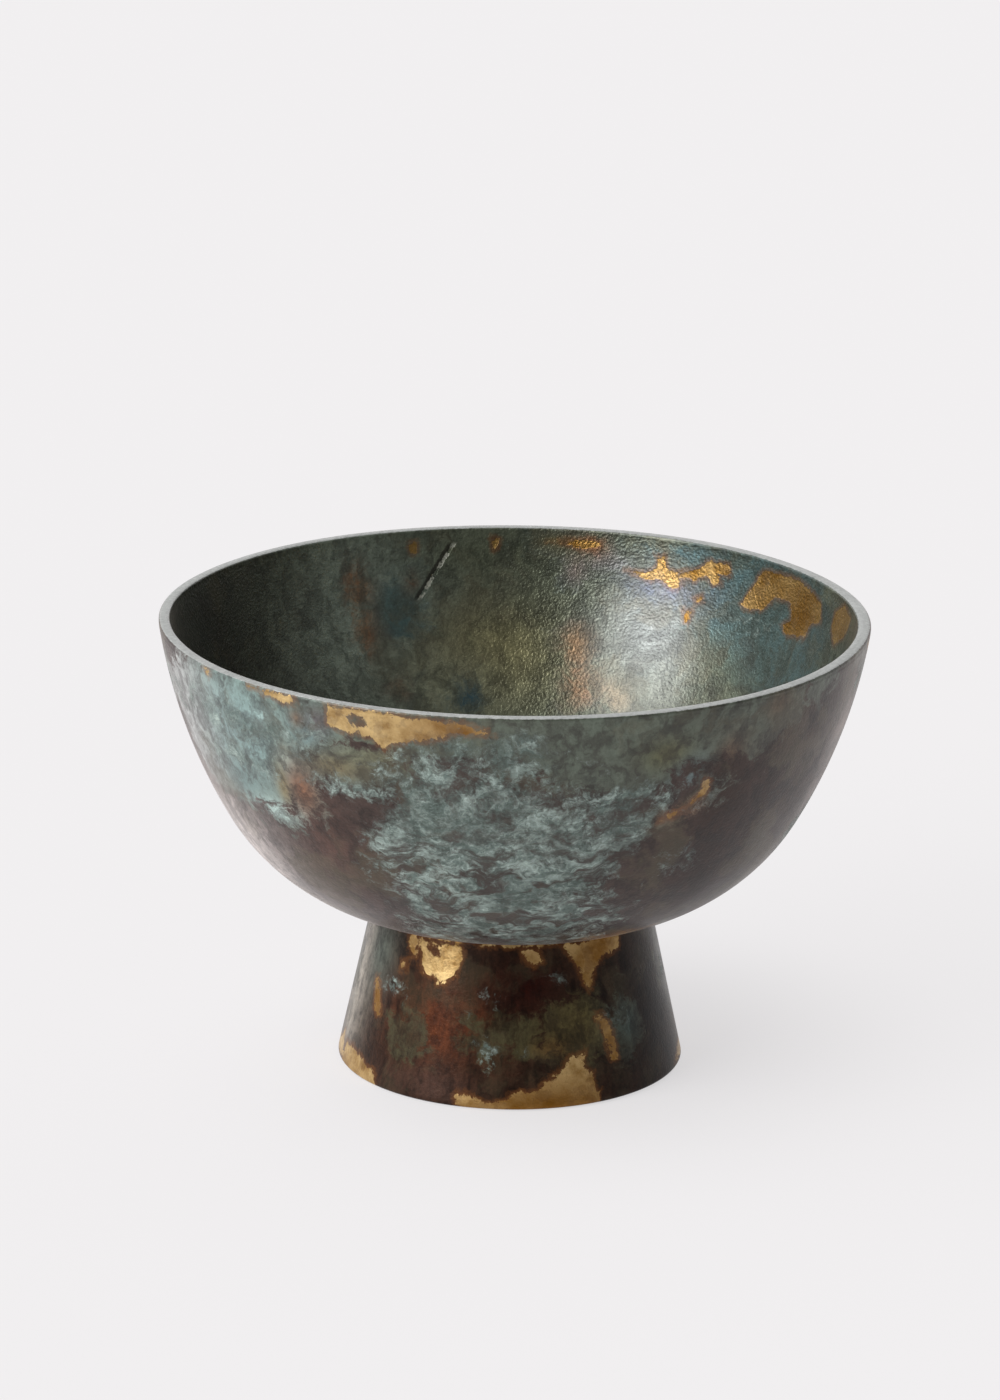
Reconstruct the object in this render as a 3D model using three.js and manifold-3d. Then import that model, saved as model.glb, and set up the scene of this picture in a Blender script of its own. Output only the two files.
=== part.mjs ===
// Footed compote bowl in patinated cast aluminium, in millimetres, +Z up.
// The origin is on the table, under the bowl's axis.
//
// Two castings make it: a deep round bowl and a hollow conical foot.
// The bowl's flat seat stands on the foot's deck, and a boss under the seat centres it in the deck's bore.
// A stud screwed into the boss, with two washers and a nut inside the foot, pulls the castings together.
// Felt pads sit in pockets under the foot's standing ring.
import * as THREE from "three";
import { mergeVertices } from "three/addons/utils/BufferGeometryUtils.js";
import Module from "manifold-3d";

const wasm = await Module();
wasm.setup();

// Bowl casting
const rimDiameter = 250; // to the lip's corner, before it is rounded
const bowlDepth = 105; // outside, from the rim's land down to the seat
const seatDiameter = 73; // the flat under the bowl
const wallLean = 8.3; // degrees from upright, at the rim
const bellyTurn = 30; // degrees from upright, where the wall's arc passes into the belly's
const lipThickness = 4.4;
const lipRound = 1.1;
const floorThickness = 5.5;
const bossDiameter = 24;
const bossShy = 1; // the boss stops this far above the deck's underside, so that the washer bears on the deck
const bossRound = 0.8;
const skinOverStud = 2.8; // metal left above the blind hole

// Foot casting
const footHeight = 57; // table to the bowl's seat
const footBaseDiameter = 123;
const footPastSeat = 12.5; // the foot's top reaches this far past the seat, up under the belly
const footWall = 4.6; // measured level
const footEdgeRound = 1;
const deckThickness = 8;
const deckFillet = 6;
const standingRingHeight = 5;
const pocketMargin = 1.7; // metal on each side of a pad's pocket, which sets the standing ring's width
const ringFillet = 2.5;

// Fixing: an 8 mm stud with its washers and nut
const studDiameter = 8;
const studChamfer = 1;
const studPastNut = 2.5;
const washerBearing = 5.7; // the washer reaches this far past the deck's bore
const washerThickness = 2;
const washerBreak = 0.3; // rounding of the blanked edges
const springWasherWidth = 3; // of its section
const springWasherThickness = 2.2;
const springWasherSlit = 1.4;
const springWasherSlant = 30; // degrees from upright
const nutWall = 2.35; // from the bore to a flat
const nutHeight = 6.5;
const nutChamfer = 30; // degrees

// Felt pads
const padCount = 4;
const padDiameter = 8;
const padThickness = 2;
const padProud = 0.4; // how far the felt stands below the ring
const padRound = 0.3;

// Clearances
const seatGap = 0.3; // bowl to foot
const bossGap = 0.3; // boss in the deck's bore, radial
const threadGap = 0.15; // stud in the boss and in the nut, radial
const studEndGap = 0.3; // stud's end to the bottom of its hole
const washerGap = 0.4; // stud in the washers, radial
const stackGap = 0.2; // between the clamped faces
const pocketGap = 0.3; // felt in its pocket, all round

// Fineness of the facets
const castingSides = 64;
const fastenerSides = 32;
const padSides = 24;
const arcSteps = 6;
const dishSteps = 3;
const filletSteps = 2;
const mergeDistance = 1e-3;
const cutterOverrun = 1; // how far a cutter runs past the metal

const rad = THREE.MathUtils.degToRad;

// A corner of an outline in the half plane of radius and height. A round corner gets a fillet.
const corner = (r, z, round = 0) => ({ r, z, round });

// An outline's points, with each round corner replaced by an arc tangent to its two sides.
// The fillet is limited to what the shorter side can hold.
function outline(corners) {
  const points = [];
  corners.forEach((here, i) => {
    const at = new THREE.Vector2(here.r, here.z);
    const before = corners[i - 1];
    const after = corners[i + 1];
    if (!here.round || !before || !after) {
      points.push(at);
      return;
    }
    const back = new THREE.Vector2(before.r, before.z).sub(at);
    const ahead = new THREE.Vector2(after.r, after.z).sub(at);
    const room = Math.min(back.length(), ahead.length()) / 2;
    back.normalize();
    ahead.normalize();
    const half = Math.acos(THREE.MathUtils.clamp(back.dot(ahead), -1, 1)) / 2;
    const setback = Math.min(here.round / Math.tan(half), room);
    const round = setback * Math.tan(half);
    const bisector = back.clone().add(ahead).normalize();
    const centre = at.clone().addScaledVector(bisector, round / Math.sin(half));
    const start = at.clone().addScaledVector(back, setback).sub(centre);
    const end = at.clone().addScaledVector(ahead, setback).sub(centre);
    const sweep = Math.atan2(start.cross(end), start.dot(end));
    for (let k = 0; k <= filletSteps; k++) {
      const turned = start.clone().rotateAround(new THREE.Vector2(), (sweep * k) / filletSteps);
      points.push(centre.clone().add(turned));
    }
  });
  return points;
}

// Turns an outline about +Z. The outline runs with the metal on its left.
function revolve(corners, sides) {
  return new THREE.LatheGeometry(outline(corners), sides).rotateX(Math.PI / 2);
}

// A geometry as a solid for cutting and joining, and back again.
function solidOf(geometry) {
  const bare = geometry.clone();
  bare.deleteAttribute("normal");
  bare.deleteAttribute("uv");
  const merged = mergeVertices(bare, mergeDistance);
  const triVerts = new Uint32Array(merged.index.array);
  return new wasm.Manifold(
    new wasm.Mesh({ numProp: 3, vertProperties: merged.attributes.position.array, triVerts }),
  );
}

function geometryOf(solid) {
  const { vertProperties, triVerts } = solid.getMesh();
  const geometry = new THREE.BufferGeometry();
  geometry.setAttribute("position", new THREE.BufferAttribute(vertProperties, 3));
  geometry.setIndex(new THREE.BufferAttribute(triVerts, 1));
  geometry.computeVertexNormals();
  return geometry;
}

// The bowl's wall is an arc that leans out at the rim.
// It is tangent to a tighter belly arc that ends level on the seat.
// The two radii follow from the rim, the seat, the depth and the two angles.
function bowlForm(rimRadius, seatRadius, depth) {
  const lean = rad(wallLean);
  const turn = rad(bellyTurn);
  const reach = rimRadius - seatRadius;
  const wallOut = Math.cos(lean) - Math.cos(turn);
  const wallUp = Math.sin(turn) - Math.sin(lean);
  const bellyOut = Math.cos(turn);
  const bellyUp = 1 - Math.sin(turn);
  const divisor = wallOut * bellyUp - bellyOut * wallUp;
  const wallRadius = (reach * bellyUp - bellyOut * depth) / divisor;
  const bellyRadius = (wallOut * depth - wallUp * reach) / divisor;
  return { rimRadius, seatRadius, depth, lean, turn, wallRadius, bellyRadius };
}

// Corners up the wall from the seat's edge to the rim, with the seat at the height given.
function wallCorners(form, seatZ) {
  const { rimRadius, seatRadius, depth, lean, turn, wallRadius, bellyRadius } = form;
  const corners = [];
  for (let k = 0; k <= arcSteps; k++) {
    const angle = THREE.MathUtils.lerp(Math.PI / 2, turn, k / arcSteps);
    corners.push(
      corner(seatRadius + bellyRadius * Math.cos(angle), seatZ + bellyRadius * (1 - Math.sin(angle))),
    );
  }
  for (let k = 1; k <= arcSteps; k++) {
    const angle = THREE.MathUtils.lerp(turn, lean, k / arcSteps);
    corners.push(
      corner(
        rimRadius - wallRadius * (Math.cos(lean) - Math.cos(angle)),
        seatZ + depth - wallRadius * (Math.sin(angle) - Math.sin(lean)),
      ),
    );
  }
  return corners;
}

const outside = bowlForm(rimDiameter / 2, seatDiameter / 2, bowlDepth);
const inside = bowlForm(rimDiameter / 2 - lipThickness, seatDiameter / 2, bowlDepth - floorThickness);
const bossRadius = bossDiameter / 2;
const bossLength = seatGap + deckThickness - bossShy;
const studRadius = studDiameter / 2;
const studHoleRadius = studRadius + threadGap;
const studHoleTop = floorThickness - skinOverStud; // above the seat

// The bowl, with its seat at z = 0: blind hole, boss, seat, outer wall, lip, inner wall and floor.
function bowlGeometry() {
  const outer = wallCorners(outside, 0);
  const inner = wallCorners(inside, floorThickness).reverse();
  outer.at(-1).round = lipRound;
  inner[0].round = lipRound;
  const corners = [
    corner(0, studHoleTop),
    corner(studHoleRadius, studHoleTop),
    corner(studHoleRadius, -bossLength),
    corner(bossRadius, -bossLength, bossRound),
    corner(bossRadius, 0),
    ...outer,
    ...inner,
    corner(0, floorThickness),
  ];
  return revolve(corners, castingSides);
}

// Height of the belly's underside above the seat, at a radius.
function bellyRise(radius) {
  const past = Math.max(radius - outside.seatRadius, 0);
  return outside.bellyRadius - Math.sqrt(outside.bellyRadius ** 2 - past ** 2);
}

const ringBottom = padProud;
const deckTop = footHeight - seatGap;
const deckUnderside = deckTop - deckThickness;
const boreRadius = bossRadius + bossGap;
const footTopRadius = outside.seatRadius + footPastSeat;
const footTopZ = deckTop + bellyRise(footTopRadius);
const pocketRadius = padDiameter / 2 + pocketGap;
const padCircleRadius = footBaseDiameter / 2 - pocketMargin - pocketRadius;
const pocketTop = padThickness + pocketGap;

// Radius of the foot's outer cone at a height above the table.
function footRadius(z) {
  const share = (z - ringBottom) / (footTopZ - ringBottom);
  return THREE.MathUtils.lerp(footBaseDiameter / 2, footTopRadius, share);
}

// The foot's section runs from the bore along the deck's underside, down the inner cone,
// round the standing ring, up the outer cone and in over the dished top, which follows the belly.
function footSection() {
  const ringTop = ringBottom + standingRingHeight;
  const ringInner = padCircleRadius - pocketRadius - pocketMargin;
  const dish = [];
  for (let k = 1; k <= dishSteps; k++) {
    const radius = THREE.MathUtils.lerp(footTopRadius, outside.seatRadius, k / dishSteps);
    dish.push(corner(radius, deckTop + bellyRise(radius)));
  }
  return [
    corner(boreRadius, deckUnderside),
    corner(footRadius(deckUnderside) - footWall, deckUnderside, deckFillet),
    corner(footRadius(ringTop) - footWall, ringTop, ringFillet),
    corner(ringInner, ringTop, footEdgeRound),
    corner(ringInner, ringBottom, footEdgeRound),
    corner(footBaseDiameter / 2, ringBottom, footEdgeRound),
    corner(footTopRadius, footTopZ, footEdgeRound),
    ...dish,
    corner(boreRadius, deckTop),
    corner(boreRadius, deckUnderside),
  ];
}

// The angle of each felt pad round the standing ring.
const padAngles = Array.from({ length: padCount }, (_, i) => (2 * Math.PI * (i + 0.5)) / padCount);

function footGeometry() {
  const cutterHeight = pocketTop - ringBottom + cutterOverrun;
  let foot = solidOf(revolve(footSection(), castingSides));
  for (const angle of padAngles) {
    const pocket = new THREE.CylinderGeometry(pocketRadius, pocketRadius, cutterHeight, padSides);
    pocket.rotateX(Math.PI / 2);
    pocket.translate(padCircleRadius, 0, pocketTop - cutterHeight / 2);
    pocket.rotateZ(angle);
    foot = foot.subtract(solidOf(pocket));
  }
  return geometryOf(foot);
}

// The stack of the fixing, downwards from the deck's underside.
const washerTop = -stackGap;
const springWasherTop = washerTop - washerThickness - stackGap;
const nutTop = springWasherTop - springWasherThickness - stackGap;
const studBottom = nutTop - nutHeight - studPastNut;
const studTop = footHeight + studHoleTop - studEndGap - deckUnderside;

function studGeometry() {
  const chamfered = studRadius - studChamfer;
  return revolve(
    [
      corner(0, studBottom),
      corner(chamfered, studBottom),
      corner(studRadius, studBottom + studChamfer),
      corner(studRadius, studTop - studChamfer),
      corner(chamfered, studTop),
      corner(0, studTop),
    ],
    fastenerSides,
  );
}

// A flat ring with its top at z = 0.
function ringGeometry(innerRadius, outerRadius, thickness, round) {
  return revolve(
    [
      corner(innerRadius, 0),
      corner(innerRadius, -thickness),
      corner(outerRadius, -thickness, round),
      corner(outerRadius, 0, round),
      corner(innerRadius, 0),
    ],
    fastenerSides,
  );
}

const washerBore = studRadius + washerGap;

function washerGeometry() {
  return ringGeometry(washerBore, boreRadius + washerBearing, washerThickness, washerBreak);
}

// The spring washer is clamped flat, so only its slanting slit shows.
function springWasherGeometry() {
  const outerRadius = washerBore + springWasherWidth;
  const slant = rad(springWasherSlant);
  const ring = ringGeometry(washerBore, outerRadius, springWasherThickness, washerBreak);
  const cutterLength = outerRadius + cutterOverrun;
  const cutterHeight = (springWasherThickness + 2 * cutterOverrun) / Math.cos(slant);
  const slit = new THREE.BoxGeometry(cutterLength, springWasherSlit, cutterHeight);
  slit.translate(cutterLength / 2, 0, 0);
  slit.rotateX(slant);
  slit.translate(0, 0, -springWasherThickness / 2);
  return geometryOf(solidOf(ring).subtract(solidOf(slit)));
}

// The nut is a hexagon whose corners are turned off to a cone at both faces, with a plain bore.
function nutGeometry() {
  const flatRadius = studHoleRadius + nutWall;
  const cornerRadius = flatRadius / Math.cos(Math.PI / 6);
  const coneHeight = (cornerRadius - flatRadius) * Math.tan(rad(nutChamfer));
  const hexagon = new THREE.CylinderGeometry(cornerRadius, cornerRadius, nutHeight, 6);
  hexagon.rotateX(Math.PI / 2).translate(0, 0, -nutHeight / 2);
  const turned = revolve(
    [
      corner(0, -nutHeight),
      corner(flatRadius, -nutHeight),
      corner(cornerRadius, -nutHeight + coneHeight),
      corner(cornerRadius, -coneHeight),
      corner(flatRadius, 0),
      corner(0, 0),
    ],
    fastenerSides,
  );
  const boreLength = nutHeight + 2 * cutterOverrun;
  const bore = new THREE.CylinderGeometry(studHoleRadius, studHoleRadius, boreLength, fastenerSides);
  bore.rotateX(Math.PI / 2).translate(0, 0, -nutHeight / 2);
  return geometryOf(solidOf(hexagon).intersect(solidOf(turned)).subtract(solidOf(bore)));
}

function padGeometry() {
  return revolve(
    [
      corner(0, 0),
      corner(padDiameter / 2, 0, padRound),
      corner(padDiameter / 2, padThickness, padRound),
      corner(0, padThickness),
    ],
    padSides,
  );
}

// Finishes
const bowlPatina = new THREE.MeshStandardMaterial({ color: 0x5d6a66, roughness: 0.45, metalness: 0.6 });
const footPatina = new THREE.MeshStandardMaterial({ color: 0x5a4636, roughness: 0.4, metalness: 0.65 });
const zincPlate = new THREE.MeshStandardMaterial({ color: 0xb4b6b4, roughness: 0.35, metalness: 0.95 });
const darkFelt = new THREE.MeshStandardMaterial({ color: 0x2b2925, roughness: 1, metalness: 0 });

function piece(name, geometry, material, z = 0) {
  const mesh = new THREE.Mesh(geometry, material);
  mesh.name = name;
  mesh.position.z = z;
  return mesh;
}

// Assembly
const fixing = new THREE.Group();
fixing.position.z = deckUnderside;
fixing.add(
  piece("stud", studGeometry(), zincPlate),
  piece("clamp_washer", washerGeometry(), zincPlate, washerTop),
  piece("spring_washer", springWasherGeometry(), zincPlate, springWasherTop),
  piece("hex_nut", nutGeometry(), zincPlate, nutTop),
);

const pads = new THREE.Group();
padAngles.forEach((angle, i) => {
  const pad = piece(`felt_pad_${i + 1}`, padGeometry(), darkFelt);
  pad.position.x = padCircleRadius * Math.cos(angle);
  pad.position.y = padCircleRadius * Math.sin(angle);
  pads.add(pad);
});

const compoteBowl = new THREE.Group();
compoteBowl.add(
  piece("bowl", bowlGeometry(), bowlPatina, footHeight),
  piece("foot", footGeometry(), footPatina),
  fixing,
  pads,
);

export default compoteBowl;
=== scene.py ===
import math

import bpy
import numpy as np
from mathutils import Matrix, Vector


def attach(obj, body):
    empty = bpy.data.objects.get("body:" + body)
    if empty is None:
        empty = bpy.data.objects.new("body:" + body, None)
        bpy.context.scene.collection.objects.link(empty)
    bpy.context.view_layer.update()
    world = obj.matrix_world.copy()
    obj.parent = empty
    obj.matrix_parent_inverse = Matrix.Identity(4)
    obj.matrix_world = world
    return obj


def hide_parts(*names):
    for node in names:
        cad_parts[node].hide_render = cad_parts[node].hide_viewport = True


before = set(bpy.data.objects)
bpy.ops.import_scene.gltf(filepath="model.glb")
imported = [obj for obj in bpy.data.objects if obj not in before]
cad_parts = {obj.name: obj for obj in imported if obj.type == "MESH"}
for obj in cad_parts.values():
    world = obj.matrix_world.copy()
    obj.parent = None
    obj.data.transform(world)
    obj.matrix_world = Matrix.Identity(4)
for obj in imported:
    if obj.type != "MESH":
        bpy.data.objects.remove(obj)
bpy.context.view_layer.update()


# View
# The bowl stands at the origin and is seen from in front and a little above, through a long lens.
# The camera is turned slightly about its own axis, so the bowl leans a little to the right in the picture.
look_down, look_aside, camera_turn = 0.2902, -0.0027, 0.0124
ahead = np.array(
    [
        math.sin(look_aside) * math.cos(look_down),
        math.cos(look_aside) * math.cos(look_down),
        -math.sin(look_down),
    ]
)
level = np.cross(ahead, [0.0, 0.0, 1.0])
level /= np.linalg.norm(level)
across = math.cos(camera_turn) * level + math.sin(camera_turn) * np.cross(level, ahead)
camera_place = [0.0001, -1.8956, 0.6971]
axes = np.eye(4)
axes[:3] = np.stack([across, np.cross(across, ahead), -ahead, camera_place], axis=1)
camera = bpy.data.objects.new("camera", bpy.data.cameras.new("camera"))
camera.data.sensor_fit = "VERTICAL"
camera.data.sensor_height = 36
camera.data.lens = 144.7
camera.matrix_world = Matrix(axes.tolist())
bpy.context.scene.collection.objects.link(camera)
bpy.context.scene.camera = camera


# Bowl
# A sand-cast aluminium shell with a rounded belly, a flat seat and a boss that centres it on the foot.
# It is patinated in brown, blue-green and gold under a satin lacquer.
# The lip is rubbed back to bare metal.
rim_radius, rim_height = 125.0, 162.0
seat_radius, seat_height = 36.5, 57.0
lip_width, lip_rise = 4.4, 1.3
floor_height = 62.5
boss_radius, boss_bottom = 12.0, 49.7
hole_radius, hole_top = 4.15, 59.7
lip_inset, crease_start, core_shift = 0.25, 1.3, 0.45
bare_depth, bare_fade, raw_rise = 0.45, 0.3, 1.0
cap_radius = 0.6
bowl_sides = 400
crisp_angle = 40
deepest = 25.0


def wall_arcs(rim, seat, base, top):
    """Lean at the rim, the angle where the arcs meet and the radii of the wall and belly arcs. Together
    the arcs run out from the seat to the rim and up from the base to the top. Those two equations give
    the radii."""
    lean, meet = np.radians([8.3, 30.0])
    runs = [
        [np.cos(lean) - np.cos(meet), np.cos(meet)],
        [np.sin(meet) - np.sin(lean), 1 - np.sin(meet)],
    ]
    return lean, meet, *np.linalg.solve(runs, [rim - seat, top - base])


def wall_line(rim, seat, base, top, stop, count):
    """Places (radius, height) up a wall, from the seat's edge to the height stop: a belly arc that
    starts level, then a wall arc with the same tangent where they meet."""
    lean, meet, wall, belly = wall_arcs(rim, seat, base, top)
    low = np.linspace(np.pi / 2, meet, count)
    high = np.linspace(meet, np.arcsin(np.sin(lean) + (top - stop) / wall), count)[1:]
    radius = np.concatenate([seat + belly * np.cos(low), rim - wall * (np.cos(lean) - np.cos(high))])
    height = np.concatenate([base + belly * (1 - np.sin(low)), top - wall * (np.sin(high) - np.sin(lean))])
    return np.stack([radius, height], axis=1)


def lip_line(outer, inner, rise, count):
    """Places (radius, height) over a lip, between its outer and inner feet: half of a superellipse, nearly
    flat on top with soft edges."""
    roundness = 0.62
    sweep = np.linspace(0, np.pi, count)[1:-1]
    middle, half = (outer + inner) / 2, (outer[0] - inner[0]) / 2
    radius = middle[0] + half * np.sign(np.cos(sweep)) * np.abs(np.cos(sweep)) ** roundness
    height = middle[1] + rise * np.sin(sweep) ** roundness
    return np.stack([radius, height], axis=1)


def divided(corners, step):
    """Places along straight legs between corners, at most a step apart."""
    corners = np.asarray(corners, float)
    legs = [
        np.linspace(start, stop, max(2, int(np.ceil(np.linalg.norm(stop - start) / step)) + 1))[:-1]
        for start, stop in zip(corners[:-1], corners[1:])
    ]
    return np.concatenate([*legs, corners[-1:]])


def turned(line, sides):
    """Turn in degrees from the front, positive to the right, radius and height, each on a grid of a
    turned line's rings by the sides around them."""
    turn = np.arange(sides) * 360.0 / sides
    ones = np.ones(sides)
    return np.tile(turn, (len(line), 1)), line[:, :1] * ones, line[:, 1:] * ones


def placed(turn, radius, height):
    """Points in mm from turn, radius and height: x is the radius by the turn's sine, y the radius by
    minus its cosine."""
    angle = np.radians(turn)
    return np.stack([radius * np.sin(angle), -radius * np.cos(angle), height], axis=-1)


def skinned(name, points, loop=False, fields=None, sharp=crisp_angle):
    """A closed skin over a grid of points in mm, ring after ring, each ring closed on itself. The last
    ring joins the first, or else a flat cap closes each end. Fields are numbers or colours carried at the
    points, and edges that turn by more than the sharp angle stay crisp."""
    index = np.arange(points.shape[0] * points.shape[1]).reshape(points.shape[:2])
    low, high = (index, np.roll(index, -1, 0)) if loop else (index[:-1], index[1:])
    quads = np.stack([low, np.roll(low, -1, 1), np.roll(high, -1, 1), high], axis=-1)
    caps = [] if loop else [index[0][::-1].tolist(), index[-1].tolist()]
    metres = points.reshape(-1, 3) / 1000
    mesh = bpy.data.meshes.new(name)
    mesh.from_pydata(metres.tolist(), [], quads.reshape(-1, 4).tolist() + caps)
    for key, values in (fields or {}).items():
        kind, slot = ("FLOAT", "value") if values.ndim == 2 else ("FLOAT_COLOR", "color")
        layer = mesh.attributes.new(key, kind, "POINT")
        layer.data.foreach_set(slot, values.astype(np.float32).ravel())
    mesh.shade_smooth()
    mesh.set_sharp_from_angle(angle=math.radians(sharp))
    piece = bpy.data.objects.new(name, mesh)
    bpy.context.scene.collection.objects.link(piece)
    return piece


def fitted(piece, node, material):
    """Puts a finished piece, with its material, in place of a node of the frame, which is hidden."""
    piece.data.materials.append(material)
    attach(piece, "root")
    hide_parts(node)


def spot(place, turn, height, wide, tall, tilt=0.0):
    """How far a place lies in a patch: 1 at its middle, 0 on its edge and less outside. It is 1 less the
    distance from the middle, counted in half-widths and half-heights along the surface in mm."""
    turns, radii, heights = place
    right = np.radians((turns - turn + 180) % 360 - 180) * radii
    up = heights - height
    angle = np.radians(tilt)
    along = right * np.cos(angle) + up * np.sin(angle)
    over = up * np.cos(angle) - right * np.sin(angle)
    return 1 - np.hypot(along / wide, over / tall)


def patches(place, spots):
    """Depth in mm inside round patches laid together, less than 0 outside: the greatest of how far the
    place lies in each, times the patch's smaller half, and no more than the deepest either way."""
    depths = [spot(place, *each) * min(each[2:4]) for each in spots]
    return np.clip(np.max(depths, axis=0), -deepest, deepest)


def outlines(place, shapes):
    """Depth in mm inside patches given by their corners (turn, height), less than 0 outside: the distance
    to the nearest side along the surface, signed by how often a level line to the right crosses the
    sides."""
    turns, radii, heights = place
    per_degree = np.radians(radii)
    depth = np.full(turns.shape, -deepest)
    for corners in shapes:
        middle = corners[0][0]
        right = ((turns - middle + 180) % 360 - 180) * per_degree
        nearest, crossed = np.full(turns.shape, deepest), np.zeros(turns.shape, bool)
        for (first, low), (second, high) in zip(corners, [*corners[1:], corners[0]]):
            start, stop = (first - middle) * per_degree, (second - middle) * per_degree
            run, climb = stop - start, high - low
            past, above = right - start, heights - low
            share = np.clip((past * run + above * climb) / (run**2 + climb**2), 0, 1)
            nearest = np.minimum(nearest, np.hypot(past - share * run, above - share * climb))
            if climb != 0:
                beside = (low > heights) != (high > heights)
                crossed ^= beside & (right < start + run * above / climb)
        depth = np.maximum(depth, np.where(crossed, nearest, -nearest))
    return depth


def tint(red, green, blue):
    """A colour as light, from the 0 to 255 of a picture, by the screen's own curve: a straight foot and
    a power of 2.4 above it."""
    share = np.array([red, green, blue]) / 255
    return np.where(share <= 0.04045, share / 12.92, ((share + 0.055) / 1.055) ** 2.4)


def washed(place, ground, washes):
    """A ground colour with soft washes laid over it one by one. A wash has its full strength at its
    middle, and fades with the square of the distance like a bell."""
    colour = np.ones((*place[0].shape, 4))
    colour[..., :3] = tint(*ground)
    for turn, height, wide, tall, shade, strength in washes:
        cover = strength * np.exp(-((1 - spot(place, turn, height, wide, tall)) ** 2))[..., None]
        colour[..., :3] += cover * (tint(*shade) - colour[..., :3])
    return colour


def all_round(front):
    """Patches or washes (turn, ...) on one side of a casting, and the same again half a turn round."""
    return front + [(turn + 180, *rest) for turn, *rest in front]


def drawn_round(front):
    """Outlines on one side of a casting, and the same again half a turn round."""
    return front + [[(turn + 180, height) for turn, height in corners] for corners in front]


class Socket:
    """An output of a material's nodes. Arithmetic on it adds Math nodes, and node() adds any other."""

    def __init__(self, tree, output=None):
        self.tree = tree
        self.output = output

    def node(self, kind, settings, sockets, output=0):
        """Adds a node with its settings, then its sockets' values or links, and gives an output, if any."""
        made = self.tree.nodes.new("ShaderNode" + kind)
        for key, value in settings.items():
            setattr(made, key, value)
        for key, value in sockets.items():
            if isinstance(value, Socket):
                self.tree.links.new(value.output, made.inputs[key])
            else:
                made.inputs[key].default_value = value
        return Socket(self.tree, None if output is None else made.outputs[output])

    def math(self, operation, first, second):
        """Adds a Math node on two values or sockets."""
        return self.node("Math", {"operation": operation}, {0: first, 1: second})

    def __add__(self, other):
        return self.math("ADD", self, other)

    def __sub__(self, other):
        return self.math("SUBTRACT", self, other)

    def __rsub__(self, other):
        return self.math("SUBTRACT", other, self)

    def __mul__(self, other):
        return self.math("MULTIPLY", self, other)

    __radd__ = __add__
    __rmul__ = __mul__

    def rise(self, low, high):
        """0 below low, 1 above high and a smooth rise between."""
        return self.node(
            "MapRange",
            {"interpolation_type": "SMOOTHSTEP"},
            {"Value": self, "From Min": low, "From Max": high},
        )

    def noise(self, scale, detail, roughness, output=0):
        """Cloudy noise at this place, with features of about one over the scale, in metres."""
        sockets = {"Vector": self, "Scale": scale, "Detail": detail, "Roughness": roughness}
        return self.node("TexNoise", {}, sockets, output)

    def ridges(self, scale, detail, roughness, swirl):
        """Noise whose crests are drawn out into fine strands, from 0 to about 2."""
        return self.node(
            "TexNoise",
            {"noise_type": "RIDGED_MULTIFRACTAL", "normalize": False},
            {
                "Vector": self,
                "Scale": scale,
                "Detail": detail,
                "Roughness": roughness,
                "Distortion": swirl,
                "Offset": 1.0,
                "Gain": 2.0,
            },
        )

    def stretched(self, x, y, z):
        """This place with its axes drawn out or pressed together."""
        return self.node("VectorMath", {"operation": "MULTIPLY"}, {0: self, 1: (x, y, z)})

    def drifted(self, scale, detail, roughness, reach):
        """This place carried off, as far as the reach, by the colour of its own noise."""
        by = self.noise(scale, detail, roughness, output=1)
        return self.node("VectorMath", {"operation": "MULTIPLY_ADD"}, {0: by, 1: (reach,) * 3, 2: self})

    def along(self, axis):
        """How far this place lies along an axis: their dot product."""
        return self.node("VectorMath", {"operation": "DOT_PRODUCT"}, {0: self, 1: axis}, "Value")

    def unsigned(self):
        """This value without its sign."""
        return self.math("ABSOLUTE", self, 0.0)

    def times(self, value):
        """This colour made brighter or darker."""
        return self.node("VectorMath", {"operation": "SCALE"}, {0: self, "Scale": value})

    def under(self, cover, colour):
        """This colour with another laid over it where the cover is 1."""
        colour = colour if isinstance(colour, Socket) else (*tint(*colour), 1.0)
        return self.node("Mix", {"data_type": "RGBA"}, {0: cover, 6: self, 7: colour}, 2)

    def shade(self, first, second):
        """The colour that passes from the first to the second as this value goes from 0 to 1."""
        sockets = {0: self, 6: (*tint(*first), 1.0), 7: (*tint(*second), 1.0)}
        return self.node("Mix", {"data_type": "RGBA"}, sockets, 2)


def new_finish(name):
    """An empty material, as a socket to add nodes with, and its place: Object coordinates in metres."""
    material = bpy.data.materials.new(name)
    material.use_nodes = True
    material.node_tree.nodes.clear()
    here = Socket(material.node_tree)
    return material, here, here.node("TexCoord", {}, {}, "Object")


def surfaced(here, **sockets):
    """Ends a material's nodes in one Principled surface with the values or links given."""
    named = {key.replace("_", " "): value for key, value in sockets.items()}
    skin = here.node("BsdfPrincipled", {}, named)
    here.node("OutputMaterial", {}, {"Surface": skin}, None)


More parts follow.
